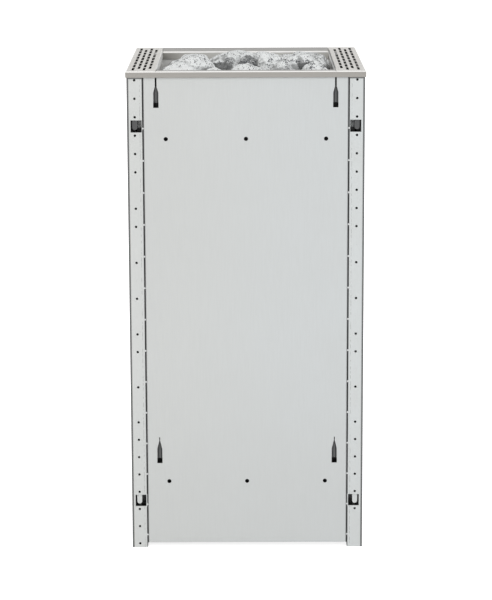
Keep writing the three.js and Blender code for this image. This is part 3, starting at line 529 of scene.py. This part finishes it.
def stone_finish(name, finish, darkness):
    """Broken stone: pale ground, grey patches, dark grains in clusters and fine grit."""
    if name in bpy.data.materials:
        return bpy.data.materials[name]
    material, make, shader = new_material(name)
    place = make.place()
    patch = make.noise(place, 34.0, 5.0, 0.62)
    cluster = make.noise(place, 70.0, 3.0, 0.6)
    fleck = make.noise(place, 380.0, 3.0, 0.65)
    grit = make.noise(place, 900.0, 2.0, 0.6)
    pale = tuple(finish.stone_pale)
    grey = make.ramp(patch, 0.54 - darkness * 0.2, 0.69 - darkness * 0.2)
    tone = make.mix(grey, pale, darker(pale, 0.36))
    tone = make.mix(make.ramp(grit, 0.45, 0.7, 0.0, 0.15), tone, darker(pale, 0.55))
    grains = make.math("ADD", fleck, make.ramp(cluster, 0.35, 0.7, -0.07, 0.09))
    grains = make.ramp(grains, 0.575 - darkness * 0.09, 0.63 - darkness * 0.08)
    tone = make.mix(grains, tone, tuple(finish.stone_dark))
    # Painted shade: darker sides, and darker hollows
    surface = make.add("ShaderNodeNewGeometry").outputs
    upward = make.add("ShaderNodeSeparateXYZ", {"Vector": surface["Normal"]}).outputs["Z"]
    tone = make.mix(make.ramp(upward, -0.05, 0.62, 0.84, 0.0), tone, darker(pale, 0.2))
    hollow = make.ramp(surface["Pointiness"], 0.41, 0.51, 0.85, 0.0)
    tone = make.mix(hollow, tone, darker(pale, 0.12))
    make.feed(shader.inputs["Base Color"], tone)
    make.feed(shader.inputs["Roughness"], make.ramp(grit, 0.3, 0.7, 0.72, 0.95))
    bump(make, shader, make.math("ADD", fleck, make.both(grit, 0.5)), 0.6, 0.9 * MM)
    return material


def tray_finish():
    """Tray sheet: lightened inside as painted light, and dark outside as painted shade."""
    name = "tray_steel"
    if name in bpy.data.materials:
        return bpy.data.materials[name]
    material, make, shader = new_material(name)
    grain = use_group(make, rolled_grain(), Stretch=(420.0, 420.0, 60.0), Cloud_Scale=12.0)
    _, across, along, _ = make.axes()
    # Painted shade on the tray's outside
    outside = make.either(make.ramp(across, 0.1728, 0.1734), make.ramp(along, 0.1788, 0.1794))
    tone = make.mix(make.both(grain["Cloud"], 0.5), TRAY_PAINTED_LIGHT, TRAY_CLOUD)
    tone = make.mix(make.both(grain["Grain"], 0.25), tone, TRAY_GRAIN)
    make.feed(shader.inputs["Base Color"], make.mix(outside, tone, TRAY_OUTSIDE_SHADE))
    make.feed(shader.inputs["Roughness"], make.ramp(grain["Grain"], 0.0, 1.0, 0.34, 0.5))
    shader.inputs["Metallic"].default_value = 0.0
    bump(make, shader, grain["Grain"], 0.15, 0.1 * MM)
    return material


def inner_finish(name, colour, metallic, roughness, scale):
    """A finish for an inner piece, with worn patches."""
    if name in bpy.data.materials:
        return bpy.data.materials[name]
    material, make, shader = new_material(name)
    grain = use_group(make, rolled_grain(), Stretch=(scale, scale, scale * 0.6), Cloud_Scale=22.0)
    tone = make.mix(make.both(grain["Cloud"], 0.6), colour, darker(colour, 0.7))
    tone = make.mix(make.both(grain["Grain"], 0.3), tone, darker(colour, 0.8))
    make.feed(shader.inputs["Base Color"], tone)
    make.feed(shader.inputs["Roughness"], make.ramp(grain["Grain"], 0.0, 1.0, roughness, roughness + 0.15))
    shader.inputs["Metallic"].default_value = metallic
    bump(make, shader, grain["Grain"], 0.2, 0.15 * MM)
    return material


# Operators, one for each group of pieces

class HEATER_OT_stage(bpy.types.Operator):
    """Floor, light and camera"""

    bl_idname = "heater.stage"
    bl_label = "Stage"

    def execute(self, context):
        setup = context.scene.heater_stage
        context.scene.view_settings.view_transform = "Standard"
        self.make_floor()
        self.make_world(setup)
        self.make_lights(setup)
        self.make_camera(setup)
        return {"FINISHED"}

    def make_floor(self):
        deselect()
        bpy.ops.mesh.primitive_plane_add(size=60.0, location=(0, 0, -0.4 * MM))
        floor = bpy.context.active_object
        floor.name = "studio_floor"
        bpy.ops.object.transform_apply(location=True)
        material, make, shader = new_material("pale_floor")
        _, across, along, _ = make.axes()
        # Painted shadow: the floor is dark below the body, apart from the open strip under the panels
        outside = make.either(make.ramp(across, 0.2250, 0.2258), make.ramp(along, 0.2222, 0.2232))
        strip = make.both(make.ramp(along, 0.188, 0.190), make.fall(across, 0.1952, 0.1962))
        open_floor = make.either(outside, strip)
        make.feed(shader.inputs["Base Color"], make.mix(open_floor, FLOOR_PAINTED_SHADOW, FLOOR_PALE))
        shader.inputs["Roughness"].default_value = 0.9
        # It is white from afar and keeps a faint shadow close to the posts
        white = make.ramp(make.either(across, along), 0.25, 0.9, 0.86, 1.0)
        glow = make.both(make.backdrop_rays(), open_floor)
        shader.inputs["Emission Color"].default_value = (1, 1, 1, 1)
        make.feed(shader.inputs["Emission Strength"], make.both(glow, white))
        floor.data.materials.append(material)

    def make_world(self, setup):
        world = bpy.data.worlds.new("even_light")
        world.use_nodes = True
        bpy.context.scene.world = world
        make = Nodes(world.node_tree)
        level = make.ramp(make.backdrop_rays(), 0.0, 1.0, setup.sky_level, 1.0)
        ground = world.node_tree.nodes["Background"]
        ground.inputs["Color"].default_value = (1, 1, 1, 1)
        make.feed(ground.inputs["Strength"], level)

    def make_lights(self, setup):
        for name, place, size, power, colour in (
            ("key_light", (-2.2, -3.4, 3.6), 2.4, setup.key_power, (1.0, 0.985, 0.965)),
            ("fill_light", (3.2, -3.0, 2.2), 2.6, setup.key_power * 0.55, (0.965, 0.985, 1.0)),
        ):
            data = bpy.data.lights.new(name, "AREA")
            data.shape = "SQUARE"
            data.size = size
            data.energy = power
            data.color = colour
            lamp = bpy.data.objects.new(name, data)
            bpy.context.scene.collection.objects.link(lamp)
            lamp.location = place
            aim = Vector((0, 0, 0.6)) - Vector(place)
            lamp.rotation_euler = aim.to_track_quat("-Z", "Y").to_euler()

    def make_camera(self, setup):
        data = bpy.data.cameras.new("photo_camera")
        data.sensor_fit = "VERTICAL"
        data.sensor_height = 36.0
        data.lens = setup.lens
        data.clip_end = 200.0
        camera = bpy.data.objects.new("photo_camera", data)
        bpy.context.scene.collection.objects.link(camera)
        camera.location = setup.camera_place
        turn = Matrix.Rotation(math.pi / 2 - setup.camera_pitch, 3, "X")
        turn = turn @ Matrix.Rotation(setup.camera_roll, 3, "Z")
        camera.rotation_euler = turn.to_euler()
        bpy.context.scene.camera = camera


def eased_sheet(node, ease):
    """A node's sheet with its cut edges rounded and its bends smooth."""
    piece = copy_node(node, node + "_sheet")
    modify(piece, "BEVEL", width=ease, segments=2, limit_method="ANGLE", angle_limit=math.radians(50),
           use_clamp_overlap=True, harden_normals=False)
    only(piece)
    bpy.ops.object.shade_smooth_by_angle(angle=math.radians(40))
    modify(piece, "WEIGHTED_NORMAL", mode="FACE_AREA", weight=90, keep_sharp=True)
    return piece


class HEATER_OT_posts(bpy.types.Operator):
    """Galvanised corner posts"""

    bl_idname = "heater.posts"
    bl_label = "Corner posts"

    def execute(self, context):
        colour = tuple(context.scene.heater_finish.zinc)
        # Strengths of the painted shade on the posts
        shades = {"Corner": 0.85, "Skirt Shadow": 0.8, "Back": 0.93, "Line": 0.45}
        material = sheet_finish("galvanised_post", colour, (700.0, 700.0, 40.0), 14.0, 0.1, 0.42,
                                shades, (1.0, 1.025, 1.05))
        for node in POSTS:
            piece = eased_sheet(node, context.scene.heater_shape.edge_ease)
            settle(piece, material, "galvanised", "heater", node)
        return {"FINISHED"}


class HEATER_OT_panels(bpy.types.Operator):
    """Flat panels between the posts"""

    bl_idname = "heater.panels"
    bl_label = "Panels"

    def execute(self, context):
        colour = tuple(context.scene.heater_finish.panel)
        # Strengths of the painted shade on the panels
        shades = {"Seam": 0.9, "Inside": 0.96}
        material = sheet_finish("coated_panel", colour, (500.0, 500.0, 25.0), 3.0, 0.1, 0.45,
                                shades, (1.0, 1.02, 1.045))
        for node in PANELS:
            piece = eased_sheet(node, context.scene.heater_shape.edge_ease)
            settle(piece, material, "panel_sheet", "heater", node)
        return {"FINISHED"}


class HEATER_OT_top_frame(bpy.types.Operator):
    """Brushed frame with slotted strips and rails"""

    bl_idname = "heater.top_frame"
    bl_label = "Top frame"

    def execute(self, context):
        finish = context.scene.heater_finish
        upper = tuple(finish.frame_top)
        # Painted shade: the rails take the strips' tone, darkened
        rail_shaded_tone = darker(upper, RAIL_SHADE_SHARE)
        along = frame_finish("brushed_strip", (1500.0, 30.0, 1500.0), finish, upper, 1.0)
        across = frame_finish("brushed_rail", (30.0, 1500.0, 1500.0), finish, rail_shaded_tone, 0.0)
        for nodes, material in ((STRIPS, along), (RAILS, across)):
            for node in nodes:
                piece = eased_sheet(node, context.scene.heater_shape.edge_ease)
                settle(piece, material, "stainless", "top_frame", node)
        return {"FINISHED"}


class HEATER_OT_frame_welds(bpy.types.Operator):
    """Ground welds that close the joints between the frame's strips and rails"""

    bl_idname = "heater.frame_welds"
    bl_label = "Frame welds"

    def execute(self, context):
        low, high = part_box("frame_rail_wall")
        skirt = 12.0 * MM
        pattern = self.fillet(skirt)
        middle = high.z - skirt / 2 - 1.2 * MM
        places = []
        for side in (-1, 1):
            for face in (-1, 1):
                spot = (side * (high.x + 0.15 * MM), face * (-low.y - 0.5 * MM), middle)
                places.append(Matrix.Translation(spot))
        piece = join_copies("frame_welds", pattern, places)
        settle(piece, bpy.data.materials["brushed_rail"], "stainless", "top_frame")
        return {"FINISHED"}

    def fillet(self, skirt):
        """A thin upright bar with rounded edges."""
        deselect()
        bpy.ops.mesh.primitive_cube_add(size=1.0, location=(0, 0, 0))
        piece = bpy.context.active_object
        piece.scale = (1.0 * MM, 1.06 * MM, skirt - 2.6 * MM)
        bpy.ops.object.transform_apply(scale=True)
        modify(piece, "BEVEL", width=0.05 * MM, segments=2, limit_method="NONE")
        return piece


class HEATER_OT_stones(bpy.types.Operator):
    """Broken stones heaped in the well"""

    bl_idname = "heater.stones"
    bl_label = "Stones"

    def execute(self, context):
        shape = context.scene.heater_shape
        finish = context.scene.heater_finish
        shades = {name: stone_finish(name, finish, darkness) for name, darkness in STONE_SHADES.items()}
        hollows = bpy.data.textures.new("stone_hollows", "CLOUDS")
        hollows.noise_scale = 24 * MM
        hollows.noise_depth = 3
        chips = bpy.data.textures.new("stone_chips", "VORONOI")
        chips.noise_scale = 26 * MM
        pits = bpy.data.textures.new("stone_pits", "CLOUDS")
        pits.noise_scale = 6 * MM
        pits.noise_depth = 2
        for node in STONES + BEDS:
            bed = node in BEDS
            piece = copy_node(node, node + "_rock")
            modify(piece, "REMESH", mode="VOXEL", voxel_size=shape.stone_voxel * (2.2 if bed else 1.0))
            modify(piece, "SMOOTH", factor=0.5, iterations=2)
            modify(piece, "DISPLACE", strength=shape.stone_shrink, mid_level=1.0, direction="NORMAL")
            modify(piece, "DISPLACE", texture=hollows, strength=shape.stone_relief, mid_level=0.62,
                   texture_coords="LOCAL")
            modify(piece, "DISPLACE", texture=chips, strength=shape.stone_relief * 0.8, mid_level=0.6,
                   texture_coords="LOCAL")
            modify(piece, "DISPLACE", texture=pits, strength=shape.stone_relief * 0.3, mid_level=0.55,
                   texture_coords="LOCAL")
            only(piece)
            bpy.ops.object.shade_smooth_by_angle(angle=math.radians(32))
            # The beds below, seen through gaps, take the dark finish as painted shade
            shade = "dark_stone" if bed else STONE_SHADE_OF.get(node, "grey_stone")
            settle(piece, shades[shade], "stone", "heater", node)
        return {"FINISHED"}


class HEATER_OT_spot_welds(bpy.types.Operator):
    """Flat round weld marks at the blank places of the hole rows"""

    bl_idname = "heater.spot_welds"
    bl_label = "Spot welds"

    def execute(self, context):
        material = bpy.data.materials["galvanised_post"]
        radius = context.scene.heater_shape.weld_diameter / 2
        rows = (
            ("wall_left", (-1,), -1, BLANKS_LEFT, 1.0),
            ("wall_right", (1,), -1, BLANKS_RIGHT, 1.0),
            ("room_right", (1,), 1, BLANKS_LEFT, 1.0),
            ("room_left", (-1,), 1, BLANKS_RIGHT, 1.0),
            ("room_plugs", (-1, 1), 1, (TOP_HOLE,), 1.3),
        )
        for name, sides, face, blanks, spread in rows:
            turn = Matrix.Rotation(face * -math.pi / 2, 4, "X")
            places = []
            for side in sides:
                for index in blanks:
                    height = HOLE_START + HOLE_PITCH * index
                    spot = Vector((side * (HALF - HOLE_INSET), face * HALF, height)) * MM
                    places.append(Matrix.Translation(spot) @ turn)
            piece = join_copies("spot_welds_" + name, self.mark(radius * spread), places)
            settle(piece, material, "galvanised", "heater")
        return {"FINISHED"}

    def mark(self, radius):
        """A low ring with a dished middle, facing up."""
        deselect()
        bpy.ops.mesh.primitive_circle_add(vertices=16, radius=radius, fill_type="NGON", location=(0, 0, 0))
        piece = bpy.context.active_object
        bpy.ops.object.mode_set(mode="EDIT")
        bpy.ops.mesh.select_all(action="SELECT")
        bpy.ops.mesh.extrude_region_move(TRANSFORM_OT_translate={"value": (0, 0, 0.22 * MM)})
        bpy.ops.mesh.inset(thickness=radius * 0.3)
        bpy.ops.mesh.inset(thickness=radius * 0.2, depth=-0.14 * MM)
        bpy.ops.mesh.select_all(action="SELECT")
        bpy.ops.mesh.fill_holes(sides=0)
        bpy.ops.mesh.select_all(action="SELECT")
        bpy.ops.mesh.normals_make_consistent(inside=False)
        bpy.ops.object.mode_set(mode="OBJECT")
        bpy.ops.object.shade_smooth_by_angle(angle=math.radians(30))
        return piece


class HEATER_OT_weld_tacks(bpy.types.Operator):
    """Short weld beads in the joints between posts and panels"""

    bl_idname = "heater.weld_tacks"
    bl_label = "Weld tacks"

    def execute(self, context):
        shape = context.scene.heater_shape
        material = sheet_finish("weld_metal", (0.74, 0.75, 0.75), (900.0, 900.0, 900.0), 60.0, 0.1, 0.35, {})
        for name, quarter in (("wall", 0), ("right", 1), ("room", 2), ("left", 3)):
            turn = Matrix.Rotation(quarter * math.pi / 2, 4, "Z")
            places = []
            for side in (-1, 1):
                for index in range(shape.tack_count):
                    spot = Vector((side * SEAM, -PANEL_FACE - 0.1, TACK_START + TACK_PITCH * index)) * MM
                    places.append(turn @ Matrix.Translation(spot))
            piece = join_copies("weld_tacks_" + name, self.bead(shape.tack_length), places)
            settle(piece, material, "galvanised", "heater")
        return {"FINISHED"}

    def bead(self, length):
        """A small rounded bead along the joint, flat at the back where it lies in the gap."""
        deselect()
        bpy.ops.mesh.primitive_ico_sphere_add(subdivisions=2, radius=1.0, location=(0, 0, 0))
        piece = bpy.context.active_object
        piece.scale = (1.7 * MM, 0.9 * MM, length / 2)
        bpy.ops.object.transform_apply(scale=True)
        bpy.ops.object.mode_set(mode="EDIT")
        bpy.ops.mesh.select_all(action="SELECT")
        bpy.ops.mesh.bisect(plane_co=(0, 0.5 * MM, 0), plane_no=(0, 1, 0), use_fill=True, clear_outer=True)
        bpy.ops.object.mode_set(mode="OBJECT")
        bpy.ops.object.shade_smooth_by_angle(angle=math.radians(60))
        return piece


class HEATER_OT_inner_parts(bpy.types.Operator):
    """Finishes of the shields, decks, tray, elements and wiring"""

    bl_idname = "heater.inner_parts"
    bl_label = "Inner parts"

    def execute(self, context):
        finish = context.scene.heater_finish
        finishes = {
            # The inner zinc carries painted shade
            "galvanised": inner_finish("inner_zinc", darker(finish.zinc, INNER_SHADE_SHARE), 0.6, 0.42, 260.0),
            "panel_sheet": bpy.data.materials["coated_panel"],
            "stainless": tray_finish(),
            "element_sheath": inner_finish("darkened_sheath", (0.075, 0.07, 0.068), 0.7, 0.5, 300.0),
            "brass": inner_finish("turned_brass", (0.62, 0.45, 0.18), 1.0, 0.28, 500.0),
            "ceramic": inner_finish("terminal_ceramic", (0.80, 0.77, 0.69), 0.0, 0.55, 350.0),
            "sleeve": inner_finish("glass_sleeve", (0.66, 0.62, 0.55), 0.0, 0.8, 900.0),
            "stone": bpy.data.materials["grey_stone"],
        }
        for entry in frame["record"]["subparts"]:
            node = frame["nodes"][entry["node"]]
            material = finishes[entry["material_slot"]]
            if not node.material_slots:
                node.data.materials.append(material)
            for slot in node.material_slots:
                slot.material = material
        return {"FINISHED"}


class HEATER_PT_panel(bpy.types.Panel):
    """Steps that dress the heater"""

    bl_idname = "HEATER_PT_panel"
    bl_label = "Sauna heater"
    bl_space_type = "VIEW_3D"
    bl_region_type = "UI"
    bl_category = "Heater"

    def draw(self, context):
        for operator in OPERATORS:
            self.layout.operator(operator.bl_idname)
        for group in (context.scene.heater_finish, context.scene.heater_shape, context.scene.heater_stage):
            box = self.layout.box()
            for key in group.__annotations__:
                box.prop(group, key)


OPERATORS = (
    HEATER_OT_stage,
    HEATER_OT_posts,
    HEATER_OT_panels,
    HEATER_OT_top_frame,
    HEATER_OT_frame_welds,
    HEATER_OT_stones,
    HEATER_OT_spot_welds,
    HEATER_OT_weld_tacks,
    HEATER_OT_inner_parts,
)
GROUPS = {"heater_finish": HeaterFinish, "heater_shape": HeaterShape, "heater_stage": HeaterStage}


def register():
    for kind in tuple(GROUPS.values()) + OPERATORS + (HEATER_PT_panel,):
        bpy.utils.register_class(kind)
    for name, kind in GROUPS.items():
        setattr(bpy.types.Scene, name, PointerProperty(type=kind))


def unregister():
    for name in GROUPS:
        delattr(bpy.types.Scene, name)
    for kind in (HEATER_PT_panel,) + OPERATORS[::-1] + tuple(GROUPS.values())[::-1]:
        bpy.utils.unregister_class(kind)


def main():
    register()
    bpy.ops.heater.stage()
    bpy.ops.heater.posts()
    bpy.ops.heater.panels()
    bpy.ops.heater.top_frame()
    bpy.ops.heater.frame_welds()
    bpy.ops.heater.stones()
    bpy.ops.heater.spot_welds()
    bpy.ops.heater.weld_tacks()
    bpy.ops.heater.inner_parts()


if __name__ == "__main__":
    main()
